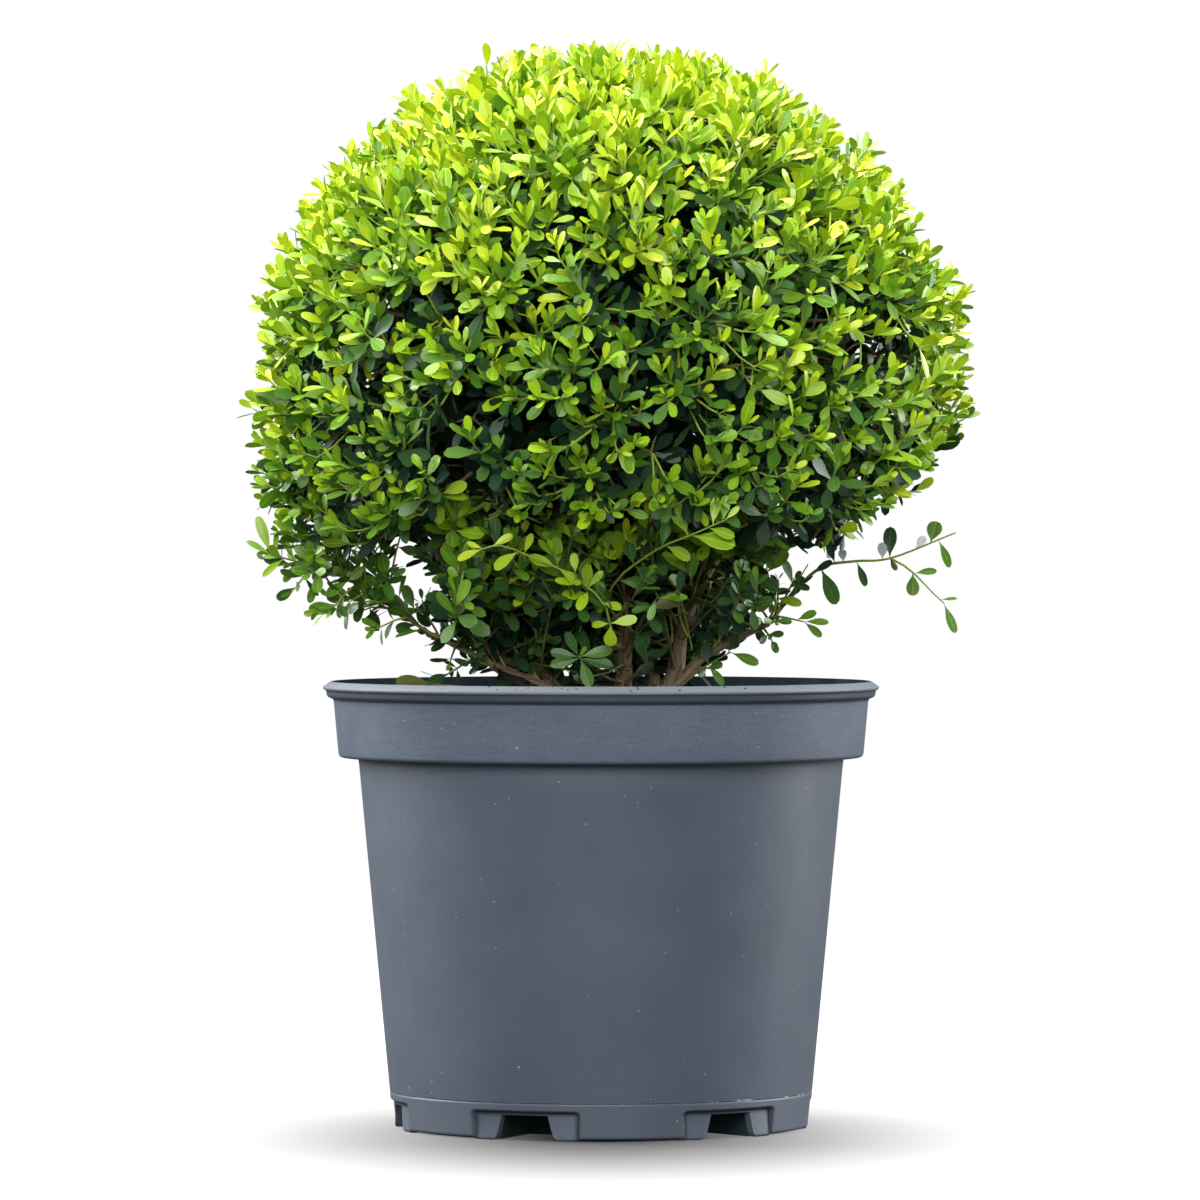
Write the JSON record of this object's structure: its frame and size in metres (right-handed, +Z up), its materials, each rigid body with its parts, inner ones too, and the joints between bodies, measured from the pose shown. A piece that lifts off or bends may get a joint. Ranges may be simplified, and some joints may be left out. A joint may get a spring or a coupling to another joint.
{
  "type": "potted box topiary ball",
  "caption": "Box shrub clipped to a ball on a short cluster of stems, in a round grey plastic nursery pot with a stepped band.",
  "frame": {"origin": "middle of the pot's flat underside, on the pot's axis", "axes": "+Z up along the pot's axis; -Y is the front, from which the low sprays lie to the left and right along X"},
  "size_m": [0.4542, 0.4508, 0.6533],
  "materials": {
    "pot_plastic": "moulded blue-grey polypropylene, satin, with dust and light scuffs",
    "soil": "moist dark peat with crumbs, matte",
    "bark": "grey-brown fissured bark, matte",
    "foliage": "small glossy leaves, yellow-green at the top, deep green below",
    "foliage_low": "small glossy leaves, mid to deep green"
  },
  "bodies": {
    "root": {"pot": "pot_plastic", "soil": "soil", "root_crown": "bark", "stem_front": "bark", "stem_left": "bark", "stem_right": "bark", "stem_back": "bark", "stem_back_left": "bark", "stem_back_right": "bark", "bough_low_left": "bark", "bough_low_right": "bark", "crown": "foliage", "spray_left": "foliage_low", "spray_right": "foliage_low"}
  },
  "joints": []
}
